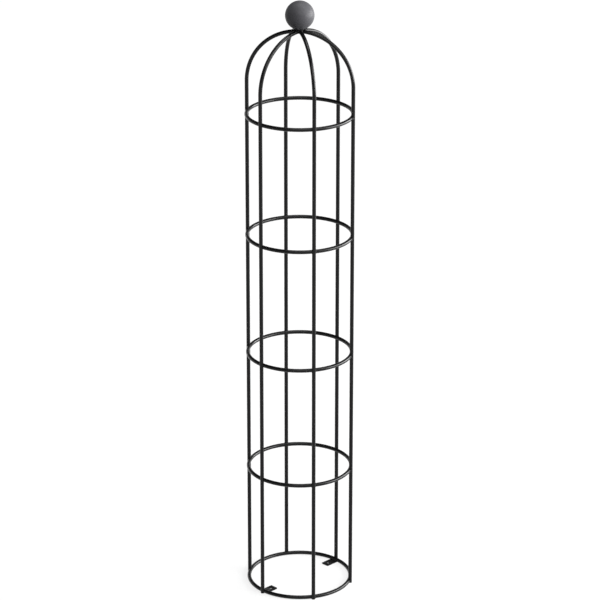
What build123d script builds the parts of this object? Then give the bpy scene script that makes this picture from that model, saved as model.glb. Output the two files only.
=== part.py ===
from build123d import *
import os
from math import asin, degrees, pi, sin, sqrt

# Garden obelisk, in millimetres, +Z up. The origin is on the axis at ground level.
# Six round bars stand on a circle at 0, 60, ... 300 degrees from +X and bend over to a dome. Five rings tie
# them from inside. The lowest ring lies on the ground and carries two drilled anchor tabs, on the X axis.
# A small hub takes the bars' ends at the top, and a hollow ball is screwed onto it.

os.makedirs("parts", exist_ok=True)

# Cage
BAR_RADIUS = 7.0
UPRIGHT_COUNT = 6
UPRIGHT_CIRCLE_RADIUS = 194.0  # circle through the centrelines of the uprights
RING_SET_IN = 5.5  # from that circle in to the centreline of every ring
RING_SPACING = 451.0
SHOULDER_TO_BEND = 106.5  # straight stretch between the highest ring and the dome's bend
FEATHER_LIMIT = 0.7  # steel that would be thinner than this under the base ring is cut away
RING_NAMES = ("base_ring", "lower_ring", "middle_ring", "upper_ring", "shoulder_ring")

# Anchor tabs
TAB_LENGTH = 52.0
TAB_WIDTH = 31.0
TAB_THICKNESS = 5.0
TAB_CORNER_RADIUS = 1.5
TAB_HOLE_RADIUS = 5.5
TAB_HOLE_SETBACK = 18.0  # from the tab's inner end to the middle of its hole

# Crown hub and the stud in it
HUB_HEIGHT = 11.0
HUB_LAND = 0.5  # bare steel between the ends of two neighbouring bars
BALL_SEAT_DEPTH = 0.7
STUD_RADIUS = 4.0
STUD_CHAMFER = 0.8
THREAD_CLEARANCE = 0.05

# Ball
BALL_RADIUS = 51.5
BALL_WALL = 1.5
BALL_HOLE_CLEARANCE = 0.3
BUSH_RADIUS = 9.0
BUSH_LENGTH = 22.0
SPARE_THREAD = 4.0  # bush above the end of the stud

# Weld beads
BEAD_RADIUS = 2.2
BEAD_END_LIFT = 0.4  # how far a bead at a crossing stops short of the ring's top and underside
TAB_BEAD_MARGIN = 3.5  # from the side of a tab to the start of its bead
CROWN_BEAD_RADIUS = 1.6

ring_radius = UPRIGHT_CIRCLE_RADIUS - RING_SET_IN
ring_heights = {name: BAR_RADIUS + step * RING_SPACING for step, name in enumerate(RING_NAMES)}
bend_height = max(ring_heights.values()) + SHOULDER_TO_BEND
apex_height = bend_height + UPRIGHT_CIRCLE_RADIUS
feather_reach = sqrt(BAR_RADIUS**2 - (BAR_RADIUS - FEATHER_LIMIT) ** 2)

hub_radius = BAR_RADIUS / sin(pi / UPRIGHT_COUNT) + HUB_LAND
hub_top = apex_height + BAR_RADIUS
hub_bottom = hub_top - HUB_HEIGHT

ball_centre = hub_top - BALL_SEAT_DEPTH + BALL_RADIUS
ball_inner_radius = BALL_RADIUS - BALL_WALL
ball_floor = ball_centre - ball_inner_radius
bush_top = ball_floor + BUSH_LENGTH
stud_top = bush_top - SPARE_THREAD


# Rings: each is one bar bent round and closed with a butt weld that is ground flush.
rings = {}
for name, height in ring_heights.items():
    with BuildPart() as ring:
        with BuildSketch(Plane.XZ):
            with Locations((ring_radius, height)):
                Circle(BAR_RADIUS)
        revolve(axis=Axis.Z)
    ring.part.label = name
    export_step(ring.part, f"parts/{name}.step")
    rings[name] = ring.part


# Uprights: each bar is straight up to the dome and bent in a quarter circle to the axis. It is notched to
# sit over the rings and coped to the hub. Its foot is cut square at the ground, and it loses the feather
# that the notch would leave under the base ring.
with BuildPart() as upright_pattern:
    with BuildLine(Plane.XZ):
        Line((UPRIGHT_CIRCLE_RADIUS, 0), (UPRIGHT_CIRCLE_RADIUS, bend_height))
        CenterArc((0, bend_height), UPRIGHT_CIRCLE_RADIUS, 0, 90)
    with BuildSketch():
        with Locations((UPRIGHT_CIRCLE_RADIUS, 0)):
            Circle(BAR_RADIUS)
    sweep()
    for ring_part in rings.values():
        add(ring_part, mode=Mode.SUBTRACT)
    with BuildSketch():
        Circle(ring_radius + feather_reach)
    extrude(amount=BAR_RADIUS, mode=Mode.SUBTRACT)
    with BuildSketch(Plane.XY.offset(bend_height)):
        Circle(hub_radius)
    extrude(amount=hub_top - bend_height, mode=Mode.SUBTRACT)

uprights = {}
for index, place in enumerate(PolarLocations(0, UPRIGHT_COUNT), start=1):
    with BuildPart(place) as upright:
        add(upright_pattern.part)
    upright.part.label = f"upright_{index}"
    export_step(upright.part, f"parts/upright_{index}.step")
    uprights[index] = upright.part


# Anchor tabs: drilled flat bar on the ground inside the base ring, coped to it.
tab_outer_end = ring_radius - feather_reach
tab_inner_end = tab_outer_end - TAB_LENGTH
tab_hole_place = tab_inner_end + TAB_HOLE_SETBACK
with BuildPart() as tab_pattern:
    with BuildSketch():
        with Locations(((tab_inner_end + tab_outer_end) / 2, 0)):
            Rectangle(TAB_LENGTH, TAB_WIDTH)
        with Locations((tab_hole_place, 0)):
            Circle(TAB_HOLE_RADIUS, mode=Mode.SUBTRACT)
    extrude(amount=TAB_THICKNESS)
    inner_corners = edges().filter_by(Axis.Z).filter_by(GeomType.LINE).group_by(Axis.X)[0]
    fillet(inner_corners, TAB_CORNER_RADIUS)
    add(rings["base_ring"], mode=Mode.SUBTRACT)

for side, place in zip(("right", "left"), PolarLocations(0, 2)):
    with BuildPart(place) as tab:
        add(tab_pattern.part)
    tab.part.label = f"anchor_tab_{side}"
    export_step(tab.part, f"parts/anchor_tab_{side}.step")


# Crown hub: a turned boss with a dished seat for the ball and a tapped hole for the stud.
with BuildPart() as crown_hub:
    with BuildSketch(Plane.XY.offset(hub_bottom)):
        Circle(hub_radius)
        Circle(STUD_RADIUS + THREAD_CLEARANCE, mode=Mode.SUBTRACT)
    extrude(amount=HUB_HEIGHT)
    with Locations((0, 0, ball_centre)):
        Sphere(BALL_RADIUS, mode=Mode.SUBTRACT)
crown_hub.part.label = "crown_hub"
export_step(crown_hub.part, "parts/crown_hub.step")

with BuildPart() as finial_stud:
    with BuildSketch(Plane.XY.offset(hub_bottom)):
        Circle(STUD_RADIUS)
    extrude(amount=stud_top - hub_bottom)
    chamfer(edges().filter_by(GeomType.CIRCLE), STUD_CHAMFER)
finial_stud.part.label = "finial_stud"
export_step(finial_stud.part, "parts/finial_stud.step")


# Ball: two pressed half shells, butt welded at the equator and ground flush.
with BuildPart() as ball_upper_shell:
    with Locations((0, 0, ball_centre)):
        Sphere(BALL_RADIUS)
        Sphere(ball_inner_radius, mode=Mode.SUBTRACT)
    split(bisect_by=Plane.XY.offset(ball_centre), keep=Keep.TOP)
ball_upper_shell.part.label = "ball_upper_shell"
export_step(ball_upper_shell.part, "parts/ball_upper_shell.step")

with BuildPart() as ball_lower_shell:
    with Locations((0, 0, ball_centre)):
        Sphere(BALL_RADIUS)
        Sphere(ball_inner_radius, mode=Mode.SUBTRACT)
    split(bisect_by=Plane.XY.offset(ball_centre), keep=Keep.BOTTOM)
    with BuildSketch(Plane.XY.offset(ball_centre)):
        Circle(STUD_RADIUS + BALL_HOLE_CLEARANCE)
    extrude(amount=-(BALL_RADIUS + BALL_WALL), mode=Mode.SUBTRACT)
ball_lower_shell.part.label = "ball_lower_shell"
export_step(ball_lower_shell.part, "parts/ball_lower_shell.step")

# The bush is welded to the floor of the lower shell, so its foot is rounded to fit it.
with BuildPart() as ball_bush:
    with BuildSketch(Plane.XY.offset(ball_floor)):
        Circle(BUSH_RADIUS)
        Circle(STUD_RADIUS + THREAD_CLEARANCE, mode=Mode.SUBTRACT)
    extrude(amount=BUSH_LENGTH)
    with Locations((0, 0, ball_centre)):
        Sphere(ball_inner_radius, mode=Mode.INTERSECT)
ball_bush.part.label = "ball_bush"
export_step(ball_bush.part, "parts/ball_bush.step")


# Weld beads at a crossing: one on each side of the upright, bent round the outside of the ring's bar.
pattern_height = ring_heights["lower_ring"]
bead_arc = 2 * degrees(asin((BAR_RADIUS - BEAD_RADIUS - BEAD_END_LIFT) / BAR_RADIUS))
seam_set_out = sqrt(BAR_RADIUS**2 - (BAR_RADIUS - RING_SET_IN) ** 2)
bead_starts = [(BAR_RADIUS, -seam_set_out), (BAR_RADIUS, seam_set_out)]
bar_centre = Plane((ring_radius, 0, pattern_height))
bead_low_end = bar_centre.rotated((0, bead_arc / 2, 0))
bead_high_end = bar_centre.rotated((0, -bead_arc / 2, 0))
with BuildPart() as crossing_beads:
    with BuildSketch(bead_low_end):
        with Locations(*bead_starts):
            Circle(BEAD_RADIUS)
    revolve(axis=Axis(bar_centre.origin, (0, -1, 0)), revolution_arc=bead_arc)
    for bead_end in (bead_low_end, bead_high_end):
        with Locations(*(bead_end.from_local_coords(start) for start in bead_starts)):
            Sphere(BEAD_RADIUS)
    add(rings["lower_ring"], mode=Mode.SUBTRACT)
    add(uprights[1], mode=Mode.SUBTRACT)

for name, height in ring_heights.items():
    with BuildPart(Plane.XY.offset(height - pattern_height)) as ring_welds:
        with PolarLocations(0, UPRIGHT_COUNT):
            add(crossing_beads.part)
    ring_welds.part.label = f"{name}_welds"
    export_step(ring_welds.part, f"parts/{name}_welds.step")


# Anchor tab welds: one bead on each tab, along the inside of the base ring.
tab_seam_radius = ring_radius - sqrt(BAR_RADIUS**2 - (BAR_RADIUS - TAB_THICKNESS) ** 2)
tab_bead_angle = 2 * degrees(asin((TAB_WIDTH / 2 - TAB_BEAD_MARGIN) / tab_seam_radius))
with BuildPart() as tab_bead:
    with BuildSketch(Plane.XZ.rotated((0, 0, -tab_bead_angle / 2))):
        with Locations((tab_seam_radius, TAB_THICKNESS)):
            Circle(BEAD_RADIUS)
            Rectangle(2 * BEAD_RADIUS, BEAD_RADIUS, align=(Align.CENTER, Align.MAX), mode=Mode.SUBTRACT)
        with Locations((ring_radius, BAR_RADIUS)):
            Circle(BAR_RADIUS, mode=Mode.SUBTRACT)
    revolve(axis=Axis.Z, revolution_arc=tab_bead_angle)

with BuildPart() as anchor_tab_welds:
    with PolarLocations(0, 2):
        add(tab_bead.part)
anchor_tab_welds.part.label = "anchor_tab_welds"
export_step(anchor_tab_welds.part, "parts/anchor_tab_welds.step")


# Crown weld: a bead round the lower edge of the hub, on the ends of the bars.
with BuildPart() as crown_weld:
    with BuildSketch(Plane.XZ):
        with Locations((hub_radius, hub_bottom)):
            Circle(CROWN_BEAD_RADIUS)
    revolve(axis=Axis.Z)
    add(crown_hub.part, mode=Mode.SUBTRACT)
    for upright_part in uprights.values():
        add(upright_part, mode=Mode.SUBTRACT)
crown_weld.part.label = "crown_weld"
export_step(crown_weld.part, "parts/crown_weld.step")
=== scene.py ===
import bmesh
import bpy
from math import acos, asin, atan2, cos, hypot, pi, radians, sin, sqrt, tau
from mathutils import Matrix, Vector


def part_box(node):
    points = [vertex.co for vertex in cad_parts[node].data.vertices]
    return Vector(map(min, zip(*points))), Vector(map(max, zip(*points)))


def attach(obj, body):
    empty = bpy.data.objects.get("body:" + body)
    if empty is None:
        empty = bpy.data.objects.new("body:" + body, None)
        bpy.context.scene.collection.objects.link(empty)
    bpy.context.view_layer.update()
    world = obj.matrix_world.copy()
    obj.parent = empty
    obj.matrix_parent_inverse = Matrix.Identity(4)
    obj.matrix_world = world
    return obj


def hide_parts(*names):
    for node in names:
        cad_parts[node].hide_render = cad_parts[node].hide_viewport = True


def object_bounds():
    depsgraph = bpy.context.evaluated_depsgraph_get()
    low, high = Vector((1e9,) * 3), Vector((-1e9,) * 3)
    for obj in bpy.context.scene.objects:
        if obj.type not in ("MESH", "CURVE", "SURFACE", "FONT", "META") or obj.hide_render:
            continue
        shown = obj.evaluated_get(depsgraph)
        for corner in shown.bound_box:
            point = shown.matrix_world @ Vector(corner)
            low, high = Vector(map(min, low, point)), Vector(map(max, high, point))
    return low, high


# A welded garden obelisk, in metres, +Z up: six bent bars, five rings, two anchor tabs, a hub and a ball.

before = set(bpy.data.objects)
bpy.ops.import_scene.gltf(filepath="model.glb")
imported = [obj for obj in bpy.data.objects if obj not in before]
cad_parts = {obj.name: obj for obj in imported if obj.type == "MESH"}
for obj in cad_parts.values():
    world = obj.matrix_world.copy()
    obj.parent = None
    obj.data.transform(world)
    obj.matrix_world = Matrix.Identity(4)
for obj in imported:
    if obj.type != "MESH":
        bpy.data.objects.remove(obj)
cad_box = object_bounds()
scene = bpy.context.scene
scene.view_settings.view_transform = "Standard"

RINGS = ("base_ring", "lower_ring", "middle_ring", "upper_ring", "shoulder_ring")
UPRIGHTS = tuple(f"upright_{number}" for number in range(1, 7))
BALL_SHELLS = ("ball_upper_shell", "ball_lower_shell")

# Bars
SHARP_ANGLE = radians(40)  # edges that turn by more than this are shaded sharp
BAR_SIDES = 32
RING_STEPS = 180
BEND_STEPS = 72
FOOT_CHAMFER = 0.0007
HUB_OVERLAP = 0.003  # how far a bar's end runs into the hub

# Welds
BEAD_RADIUS = 0.0022
BEAD_ARC = radians(78)
BEAD_SIDES = 12
BEAD_STEPS = 36
BEAD_RIPPLES = 7
BEAD_RIPPLE_DEPTH = 0.2
BEAD_END_REACH = 0.14  # share of a bead's half length over which its end is rounded off
BEAD_END_SIZE = 0.15
CROWN_BEAD_RADIUS = 0.0016
CROWN_RIPPLES = 60
CROWN_RIPPLE_DEPTH = 0.18
TAB_BEAD_HALF_WIDTH = 0.012
TAB_RIPPLES = 14
CLOSING_WELD_AZIMUTH = radians(150)
CLOSING_WELD_HALF_WIDTH = 0.005
CLOSING_WELD_HEIGHT = 0.00022

# Anchor tabs and hub
ROUND_STEPS = 64
TAB_HOLE_RADIUS = 0.0055
TAB_HOLE_SETBACK = 0.018
TAB_CORNER_RADIUS = 0.0015
TAB_EDGE = 0.0005
HUB_EDGE = 0.0006
BALL_SEAT_DEPTH = 0.0007
STUD_HOLE_RADIUS = 0.00405

# Camera and light. Azimuths run from +X towards +Y.
CAMERA_AZIMUTH = radians(225)
CAMERA_DISTANCE = 9.9532
CAMERA_HEIGHT = 4.9424
CAMERA_DIP = radians(21.071)
LENS = 177.378
SHIFT = 0.00042
WORLD_LEVEL = 0.08
PAPER_GREY = 0.16
PAPER_LIFT = 0.785
PAPER_LIFT_REACH = (0.3, 12.0)
COVE_RADIUS = 14.0
COVE_BEND = 2.0
COVE_HEIGHT = 4.0
COVE_STEPS = 72


# Sizes that the solids give
def middle(node):
    low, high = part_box(node)
    return (low + high) / 2


first_low, first_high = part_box("upright_1")
bar_radius = (first_high.y - first_low.y) / 2
cage_radius = first_high.x - bar_radius
ring_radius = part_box("lower_ring")[1].x - bar_radius
hub_low, hub_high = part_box("crown_hub")
hub_radius = hub_high.x
bend_height = hub_high.z - bar_radius - cage_radius
ball_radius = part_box("ball_upper_shell")[1].x
tab_low, tab_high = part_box("anchor_tab_right")
tab_seam_radius = ring_radius - sqrt(bar_radius**2 - (bar_radius - tab_high.z) ** 2)


class Socket:
    """The output of a shader node. Sums and products of these add the nodes that work them out."""

    def __init__(self, tree, output=None):
        self.tree = tree
        self.output = output

    def node(self, kind, settings, inputs, output=0):
        """Adds a node: its settings first, then the values or links of its inputs."""
        made = self.tree.nodes.new(kind)
        for name, value in settings.items():
            setattr(made, name, value)
        for key, value in inputs.items():
            if isinstance(value, Socket):
                self.tree.links.new(value.output, made.inputs[key])
            else:
                made.inputs[key].default_value = value
        return Socket(self.tree, made.outputs[output] if made.outputs else None)

    def maths(self, operation, first, second):
        return self.node("ShaderNodeMath", {"operation": operation}, {0: first, 1: second})

    def __add__(self, other):
        return self.maths("ADD", self, other)

    def __sub__(self, other):
        return self.maths("SUBTRACT", self, other)

    def __rsub__(self, other):
        return self.maths("SUBTRACT", other, self)

    def __mul__(self, other):
        return self.maths("MULTIPLY", self, other)

    __radd__ = __add__
    __rmul__ = __mul__


def noise(place, scale, detail=2.0, distortion=0.0):
    return place.node("ShaderNodeTexNoise", {},
                      {"Vector": place, "Scale": scale, "Detail": detail, "Distortion": distortion})


def stretched(value, low, high):
    """The part of a value from low to high, drawn out to 0 to 1."""
    return value.node("ShaderNodeMapRange", {}, {"Value": value, "From Min": low, "From Max": high})


def blended(factor, first, second):
    """Two colours mixed by a factor."""
    return factor.node("ShaderNodeMix", {"data_type": "RGBA"}, {0: factor, 6: first, 7: second}, 2)


def new_material(name):
    material = bpy.data.materials.new(name)
    material.use_nodes = True
    material.node_tree.nodes.clear()
    return material, Socket(material.node_tree)


def finish_material(start, shader_inputs):
    shader = start.node("ShaderNodeBsdfPrincipled", {}, shader_inputs)
    start.node("ShaderNodeOutputMaterial", {}, {"Surface": shader})


def powder_coat(name, deep, thin, dusty, specular, roughness):
    """Satin powder coat: cloudy where it is thinner, with orange peel, fine grain and a little dust."""
    material, start = new_material(name)
    place = start.node("ShaderNodeTexCoord", {}, {}, "Object")
    facing = start.node("ShaderNodeNewGeometry", {}, {}, "Normal")
    upward = start.node("ShaderNodeSeparateXYZ", {}, {"Vector": facing}, "Z")
    cloud = noise(place, 14, 3)
    speckle = noise(place, 900, 2)
    rubbed = stretched(noise(place, 38, 4, 0.6), 0.56, 0.74)
    dust = stretched(upward, 0.35, 1.0) * stretched(noise(place, 55, 4), 0.35, 0.75)
    coat = blended(stretched(cloud + 0.25 * speckle, 0.45, 0.85), (*deep, 1), (*thin, 1))
    colour = blended(0.35 * dust, coat, (*dusty, 1))
    peel = noise(place, 520, 1.5)
    grain = noise(place, 2600, 1)
    bump = start.node("ShaderNodeBump", {}, {"Strength": 0.2, "Distance": 0.00012,
                                             "Height": peel + 0.3 * grain})
    finish_material(start, {
        "Base Color": colour,
        "Roughness": roughness + 0.05 * (cloud - 0.5) - 0.05 * rubbed + 0.12 * dust,
        "Specular IOR Level": specular,
        "Normal": bump,
    })
    return material


def plated_steel(name):
    """Bright zinc with a faint cloud of straw and blue in it."""
    material, start = new_material(name)
    place = start.node("ShaderNodeTexCoord", {}, {}, "Object")
    cloud = noise(place, 160, 3)
    colour = blended(stretched(cloud, 0.35, 0.65), (0.62, 0.63, 0.66, 1), (0.7, 0.68, 0.6, 1))
    bump = start.node("ShaderNodeBump", {},
                      {"Strength": 0.2, "Distance": 0.00005, "Height": noise(place, 1500)})
    finish_material(start, {"Base Color": colour, "Metallic": 1.0, "Roughness": 0.3 + 0.15 * cloud,
                            "Normal": bump})
    return material


def turned_steel(name):
    """Bare steel off the lathe, with fine rings and a dull film of oil."""
    material, start = new_material(name)
    place = start.node("ShaderNodeTexCoord", {}, {}, "Object")
    rings = start.node("ShaderNodeTexWave", {"bands_direction": "Z"},
                       {"Vector": place, "Scale": 700.0, "Distortion": 0.4})
    film = noise(place, 120, 3)
    colour = blended(stretched(film, 0.4, 0.7), (0.42, 0.42, 0.43, 1), (0.3, 0.28, 0.26, 1))
    bump = start.node("ShaderNodeBump", {}, {"Strength": 0.3, "Distance": 0.00004, "Height": rings})
    finish_material(start, {"Base Color": colour, "Metallic": 1.0, "Roughness": 0.32 + 0.2 * film,
                            "Normal": bump})
    return material


cage_coat = powder_coat("cage_coat", (0.0022, 0.0022, 0.0025), (0.0034, 0.0034, 0.0038),
                        (0.02, 0.0195, 0.019), 0.2, 0.24)
ball_coat = powder_coat("ball_coat", (0.055, 0.0545, 0.06), (0.063, 0.0625, 0.068),
                        (0.09, 0.09, 0.092), 0.15, 0.5)
zinc = plated_steel("zinc")
bare_steel = turned_steel("bare_steel")


def finished(name, shape, material, *nodes):
    """A piece from a bmesh, in place of the CAD nodes that it stands for."""
    bmesh.ops.recalc_face_normals(shape, faces=shape.faces)
    for face in shape.faces:
        face.smooth = True
    mesh = bpy.data.meshes.new(name)
    shape.to_mesh(mesh)
    shape.free()
    mesh.set_sharp_from_angle(angle=SHARP_ANGLE)
    mesh.materials.append(material)
    piece = bpy.data.objects.new(name, mesh)
    scene.collection.objects.link(piece)
    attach(piece, "root")
    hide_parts(*nodes)


def verts_of(parts):
    return [part for part in parts if isinstance(part, bmesh.types.BMVert)]


def edges_of(parts):
    return [part for part in parts if isinstance(part, bmesh.types.BMEdge)]


def turned_about_z(shape, angle):
    bmesh.ops.rotate(shape, verts=shape.verts, cent=(0, 0, 0), matrix=Matrix.Rotation(angle, 3, "Z"))


def section(shape, radius, sides, x, z):
    """A circle that stands on the XZ plane, round a point of it."""
    place = Matrix.Translation((x, 0, z)) @ Matrix.Rotation(pi / 2, 4, "X")
    return bmesh.ops.create_circle(shape, segments=sides, radius=radius, matrix=place)["verts"]


def loop_of(verts):
    """The vertices of a fresh circle with its edges."""
    return [*verts, *{edge for vert in verts for edge in vert.link_edges}]


def bent_bar(angle):
    """An upright: square cut at the foot, straight up to the dome, then bent to the axis and into the hub."""
    bar = bmesh.new()
    start = Matrix.Translation((cage_radius, 0, 0))
    circle = bmesh.ops.create_circle(bar, segments=BAR_SIDES, radius=bar_radius, matrix=start)["verts"]
    foot_edges = list(bar.edges)
    rise = loop_of(circle)
    for height in [*(middle(ring).z for ring in RINGS), bend_height]:
        grown = bmesh.ops.extrude_edge_only(bar, edges=edges_of(rise))
        rise = [part for part in grown["geom"] if not isinstance(part, bmesh.types.BMFace)]
        for vert in verts_of(rise):
            vert.co.z = height
    bmesh.ops.spin(bar, geom=rise, cent=(0, 0, bend_height), axis=(0, -1, 0), steps=BEND_STEPS,
                   angle=acos((hub_radius - HUB_OVERLAP) / cage_radius))
    bmesh.ops.holes_fill(bar, edges=bar.edges, sides=0)
    bmesh.ops.bevel(bar, geom=foot_edges, affect="EDGES", offset=FOOT_CHAMFER, segments=2, profile=0.5,
                    material=-1)
    turned_about_z(bar, angle)
    return bar


def ring(height, closing_azimuth):
    """A bar bent to a ring. Its butt weld is ground nearly flush and stands a hair proud of the bar."""
    hoop = bmesh.new()
    circle = section(hoop, bar_radius, BAR_SIDES, ring_radius, height)
    bmesh.ops.spin(hoop, geom=loop_of(circle), cent=(0, 0, height), axis=(0, 0, 1), angle=tau,
                   steps=RING_STEPS, use_merge=True)
    for vert in hoop.verts:
        radius = hypot(vert.co.x, vert.co.y)
        centre = Vector((vert.co.x, vert.co.y, 0)) * (ring_radius / radius) + Vector((0, 0, height))
        along = ring_radius * (atan2(vert.co.y, vert.co.x) - closing_azimuth)
        if abs(along) < CLOSING_WELD_HALF_WIDTH and vert.co.z > height - 0.6 * bar_radius:
            proud = CLOSING_WELD_HEIGHT * cos(pi / 2 * along / CLOSING_WELD_HALF_WIDTH)
            vert.co += (vert.co - centre).normalized() * proud
    return hoop


def rippled(bead, centre_of, along_of, ripples):
    """Draws a bead in between the freezing lines of its ripples, and rounds off its ends."""
    for vert in bead.verts:
        centre, along = centre_of(vert.co), along_of(vert.co)
        wave = 1 - BEAD_RIPPLE_DEPTH * (1 - abs(sin(pi * ripples * along))) ** 2
        past = max(0.0, abs(2 * along - 1) - (1 - BEAD_END_REACH))
        end = sqrt(max(0.0, 1 - past**2 / BEAD_END_REACH**2))
        vert.co = centre + (vert.co - centre) * wave * max(end, BEAD_END_SIZE)


def crossing_bead():
    """The bead on one side of the upright on +X, bent round the outside of a ring at height 0."""
    bead = bmesh.new()
    side = sqrt(bar_radius**2 - (bar_radius - (cage_radius - ring_radius)) ** 2)
    start = Matrix.Translation((ring_radius, side, 0)) @ Matrix.Rotation(BEAD_ARC / 2, 4, "Y") @ \
        Matrix.Translation((bar_radius, 0, 0))
    circle = bmesh.ops.create_circle(bead, segments=BEAD_SIDES, radius=BEAD_RADIUS, matrix=start)["verts"]
    bmesh.ops.spin(bead, geom=loop_of(circle), cent=(ring_radius, side, 0), axis=(0, -1, 0), angle=BEAD_ARC,
                   steps=BEAD_STEPS)
    bmesh.ops.holes_fill(bead, edges=bead.edges, sides=0)

    def angle_of(point):
        return atan2(point.z, point.x - ring_radius)

    def centre_of(point):
        turn = angle_of(point)
        return Vector((ring_radius + bar_radius * cos(turn), side, bar_radius * sin(turn)))

    rippled(bead, centre_of, lambda point: angle_of(point) / BEAD_ARC + 0.5, BEAD_RIPPLES)
    return bead


def add_copies(shape, turns):
    """Fills a bmesh with turned copies of what is in it, in place of the first."""
    first = [*shape.verts, *shape.edges, *shape.faces]
    for turn in turns[1:]:
        copy = bmesh.ops.duplicate(shape, geom=first)["geom"]
        bmesh.ops.rotate(shape, verts=verts_of(copy), cent=(0, 0, 0), matrix=Matrix.Rotation(turn, 3, "Z"))


def ring_beads(height):
    beads = crossing_bead()
    bmesh.ops.mirror(beads, geom=[*beads.verts, *beads.edges, *beads.faces], axis="Y", merge_dist=-1)
    add_copies(beads, [tau * step / len(UPRIGHTS) for step in range(len(UPRIGHTS))])
    bmesh.ops.translate(beads, verts=beads.verts, vec=(0, 0, height))
    return beads


def tab_beads():
    """A bead on each anchor tab, along the inside of the base ring."""
    bead = bmesh.new()
    half_angle = asin(TAB_BEAD_HALF_WIDTH / tab_seam_radius)
    circle = section(bead, BEAD_RADIUS, BEAD_SIDES, tab_seam_radius, tab_high.z)
    turned_about_z(bead, -half_angle)
    bmesh.ops.spin(bead, geom=loop_of(circle), cent=(0, 0, 0), axis=(0, 0, 1), angle=2 * half_angle,
                   steps=4 * TAB_RIPPLES)
    bmesh.ops.holes_fill(bead, edges=bead.edges, sides=0)

    def centre_of(point):
        turn = atan2(point.y, point.x)
        return Vector((tab_seam_radius * cos(turn), tab_seam_radius * sin(turn), tab_high.z))

    rippled(bead, centre_of, lambda point: atan2(point.y, point.x) / (2 * half_angle) + 0.5, TAB_RIPPLES)
    add_copies(bead, [0, pi])
    return bead


def crown_bead():
    """The bead round the lower edge of the hub. It shows between the bars."""
    bead = bmesh.new()
    circle = section(bead, CROWN_BEAD_RADIUS, BEAD_SIDES, hub_radius, hub_low.z)
    bmesh.ops.spin(bead, geom=loop_of(circle), cent=(0, 0, 0), axis=(0, 0, 1), angle=tau,
                   steps=4 * CROWN_RIPPLES, use_merge=True)
    for vert in bead.verts:
        turn = atan2(vert.co.y, vert.co.x)
        centre = Vector((hub_radius * cos(turn), hub_radius * sin(turn), hub_low.z))
        wave = 1 - CROWN_RIPPLE_DEPTH * (1 - abs(sin(CROWN_RIPPLES * turn / 2))) ** 2
        vert.co = centre + (vert.co - centre) * wave
    return bead


def anchor_tab(angle):
    """A drilled flat bar with broken edges. Its outer end is under the base ring."""
    tab = bmesh.new()
    hole = Vector((tab_low.x + TAB_HOLE_SETBACK, 0, 0))
    rim = bmesh.ops.create_circle(tab, segments=ROUND_STEPS, radius=TAB_HOLE_RADIUS,
                                  matrix=Matrix.Translation(hole))
    grown = bmesh.ops.extrude_edge_only(tab, edges=edges_of(loop_of(rim["verts"])))
    outline = verts_of(grown["geom"])
    corners = [Vector((x, y, 0)) for x in (tab_low.x, tab_high.x) for y in (tab_low.y, tab_high.y)]
    for vert in outline:
        ray = (vert.co - hole).normalized()
        reach = min(((tab_high.x if ray.x > 0 else tab_low.x) - hole.x) / ray.x if abs(ray.x) > 1e-6 else 1,
                    (tab_high.y if ray.y > 0 else tab_low.y) / ray.y if abs(ray.y) > 1e-6 else 1)
        vert.co = hole + ray * reach
    for corner in corners:
        min(outline, key=lambda vert: (vert.co - corner).length).co = corner
    raised = bmesh.ops.extrude_face_region(tab, geom=tab.faces[:])["geom"]
    bmesh.ops.translate(tab, verts=verts_of(raised), vec=(0, 0, tab_high.z))
    corner_edges = [edge for edge in tab.edges
                    if abs(edge.verts[0].co.z - edge.verts[1].co.z) > tab_high.z / 2
                    and min((edge.verts[0].co.xy - corner.xy).length for corner in corners) < 1e-6]
    bmesh.ops.bevel(tab, geom=corner_edges, affect="EDGES", offset=TAB_CORNER_RADIUS, segments=4,
                    profile=0.5, material=-1)
    bmesh.ops.recalc_face_normals(tab, faces=tab.faces)
    rims = [edge for edge in tab.edges if edge.is_manifold and edge.calc_face_angle() > radians(60)]
    bmesh.ops.bevel(tab, geom=rims, affect="EDGES", offset=TAB_EDGE, segments=2, profile=0.5, material=-1)
    turned_about_z(tab, angle)
    return tab


def hub():
    """The turned boss that takes the bars' ends, with its seat for the ball."""
    boss = bmesh.new()
    seat_radius = sqrt(2 * ball_radius * BALL_SEAT_DEPTH - BALL_SEAT_DEPTH**2)
    profile = [(STUD_HOLE_RADIUS, hub_low.z), (hub_radius - HUB_EDGE, hub_low.z),
               (hub_radius, hub_low.z + HUB_EDGE), (hub_radius, hub_high.z - HUB_EDGE),
               (hub_radius - HUB_EDGE, hub_high.z), (seat_radius, hub_high.z),
               (STUD_HOLE_RADIUS, hub_high.z - BALL_SEAT_DEPTH)]
    points = [boss.verts.new((x, 0, z)) for x, z in profile]
    edges = [boss.edges.new(pair) for pair in zip(points, points[1:] + points[:1])]
    bmesh.ops.spin(boss, geom=[*points, *edges], cent=(0, 0, 0), axis=(0, 0, 1), angle=tau,
                   steps=ROUND_STEPS, use_merge=True)
    return boss


for step, name in enumerate(UPRIGHTS):
    finished(f"bent_bar_{step + 1}", bent_bar(tau * step / len(UPRIGHTS)), cage_coat, name)
for step, name in enumerate(RINGS):
    height = middle(name).z
    finished(f"{name}_hoop", ring(height, CLOSING_WELD_AZIMUTH), cage_coat, name)
    finished(f"{name}_beads", ring_beads(height), cage_coat, f"{name}_welds")
finished("tab_plate_right", anchor_tab(0), cage_coat, "anchor_tab_right")
finished("tab_plate_left", anchor_tab(pi), cage_coat, "anchor_tab_left")
finished("tab_beads", tab_beads(), cage_coat, "anchor_tab_welds")
finished("hub_boss", hub(), cage_coat, "crown_hub")
finished("crown_bead", crown_bead(), cage_coat, "crown_weld")


def refinish(node, material):
    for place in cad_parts[node].material_slots:
        place.material = material


for shell in BALL_SHELLS:
    refinish(shell, ball_coat)
refinish("finial_stud", zinc)
refinish("ball_bush", bare_steel)


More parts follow.
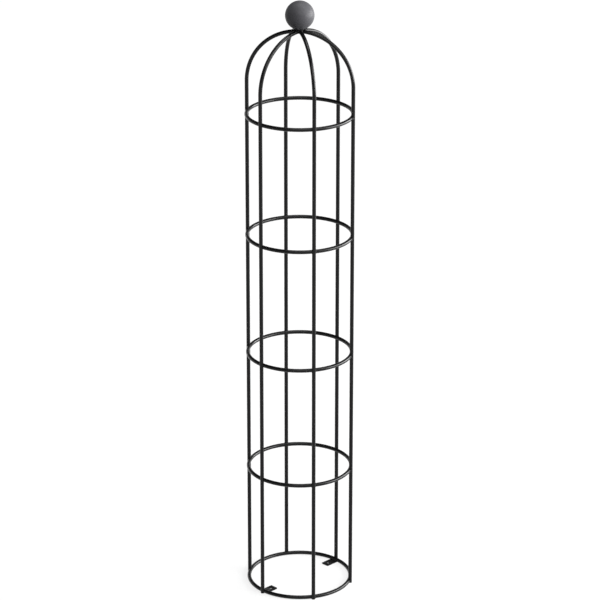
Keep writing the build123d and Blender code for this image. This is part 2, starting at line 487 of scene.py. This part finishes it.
# Studio
def softbox(name, azimuth, elevation, distance, size, brightness):
    """A lamp that looks at the middle of the obelisk. Its azimuth is counted from the camera's."""
    lamp = bpy.data.lights.new(name, "AREA")
    lamp.shape = "RECTANGLE"
    lamp.size, lamp.size_y = size
    lamp.energy = brightness * pi * size[0] * size[1]
    stand = bpy.data.objects.new(name, lamp)
    scene.collection.objects.link(stand)
    stand.visible_camera = False
    turn = CAMERA_AZIMUTH + azimuth
    out = Vector((cos(turn) * cos(elevation), sin(turn) * cos(elevation), sin(elevation)))
    stand.location = Vector((0, 0, cad_box[1].z / 2)) + out * distance
    stand.rotation_euler = (-out).to_track_quat("-Z", "Y").to_euler()


softbox("right_softbox", radians(93), radians(12), 7.0, (9.4, 3.2), 17.5)
softbox("front_softbox", radians(5), radians(45), 7.0, (5.0, 3.0), 4.6)
softbox("side_softbox", radians(58), radians(40), 7.0, (3.4, 3.4), 6.0)
softbox("top_softbox", radians(150), radians(80), 7.0, (3.0, 3.0), 9.0)

world = bpy.data.worlds.new("studio")
scene.world = world
world.use_nodes = True
world.node_tree.nodes.clear()
air = Socket(world.node_tree)
grey = air.node("ShaderNodeBackground", {}, {"Color": (1, 1, 1, 1), "Strength": WORLD_LEVEL})
air.node("ShaderNodeOutputWorld", {}, {"Surface": grey})


def paper_cove():
    """A pale floor that sweeps up to a low wall all round, white wherever it is seen or mirrored."""
    sweep = bmesh.new()
    profile = [(0, 0), (1, 0), (COVE_RADIUS - COVE_BEND, 0)]
    profile += [(COVE_RADIUS - COVE_BEND + COVE_BEND * sin(turn), COVE_BEND - COVE_BEND * cos(turn))
                for turn in (radians(15 * step) for step in range(1, 7))]
    profile.append((COVE_RADIUS, COVE_HEIGHT))
    points = [sweep.verts.new((x, 0, z)) for x, z in profile]
    edges = [sweep.edges.new(pair) for pair in zip(points, points[1:])]
    bmesh.ops.spin(sweep, geom=[*points, *edges], cent=(0, 0, 0), axis=(0, 0, 1), angle=tau,
                   steps=COVE_STEPS, use_merge=True)
    bmesh.ops.remove_doubles(sweep, verts=sweep.verts, dist=0.0001)
    for face in sweep.faces:
        face.smooth = True
        if face.normal.z < 0:
            face.normal_flip()
    mesh = bpy.data.meshes.new("paper_cove")
    sweep.to_mesh(mesh)
    sweep.free()
    cove = bpy.data.objects.new("paper_cove", mesh)
    scene.collection.objects.link(cove)
    paper, start = new_material("paper")
    ray = start.node("ShaderNodeLightPath", {}, {}, "Is Camera Ray")
    glossy, through = (Socket(ray.tree, ray.output.node.outputs[name])
                       for name in ("Is Glossy Ray", "Is Transmission Ray"))
    place = start.node("ShaderNodeTexCoord", {}, {}, "Object")
    away = start.node("ShaderNodeVectorMath", {"operation": "LENGTH"}, {0: place}, "Value")
    lift = PAPER_LIFT + (1 - PAPER_LIFT) * stretched(away, *PAPER_LIFT_REACH)
    finish_material(start, {"Base Color": (PAPER_GREY, PAPER_GREY, PAPER_GREY, 1), "Roughness": 1.0,
                            "Specular IOR Level": 0.0, "Emission Color": (1, 1, 1, 1),
                            "Emission Strength": lift * (ray + glossy + through)})
    mesh.materials.append(paper)
    return cove


paper_cove()

camera = bpy.data.objects.new("camera", bpy.data.cameras.new("camera"))
scene.collection.objects.link(camera)
camera.location = (CAMERA_DISTANCE * cos(CAMERA_AZIMUTH), CAMERA_DISTANCE * sin(CAMERA_AZIMUTH),
                   CAMERA_HEIGHT)
camera.rotation_euler = (pi / 2 - CAMERA_DIP, 0, CAMERA_AZIMUTH + pi / 2)
camera.data.lens = LENS
camera.data.sensor_width = 36
camera.data.shift_x = SHIFT
camera.data.clip_end = 100
scene.camera = camera
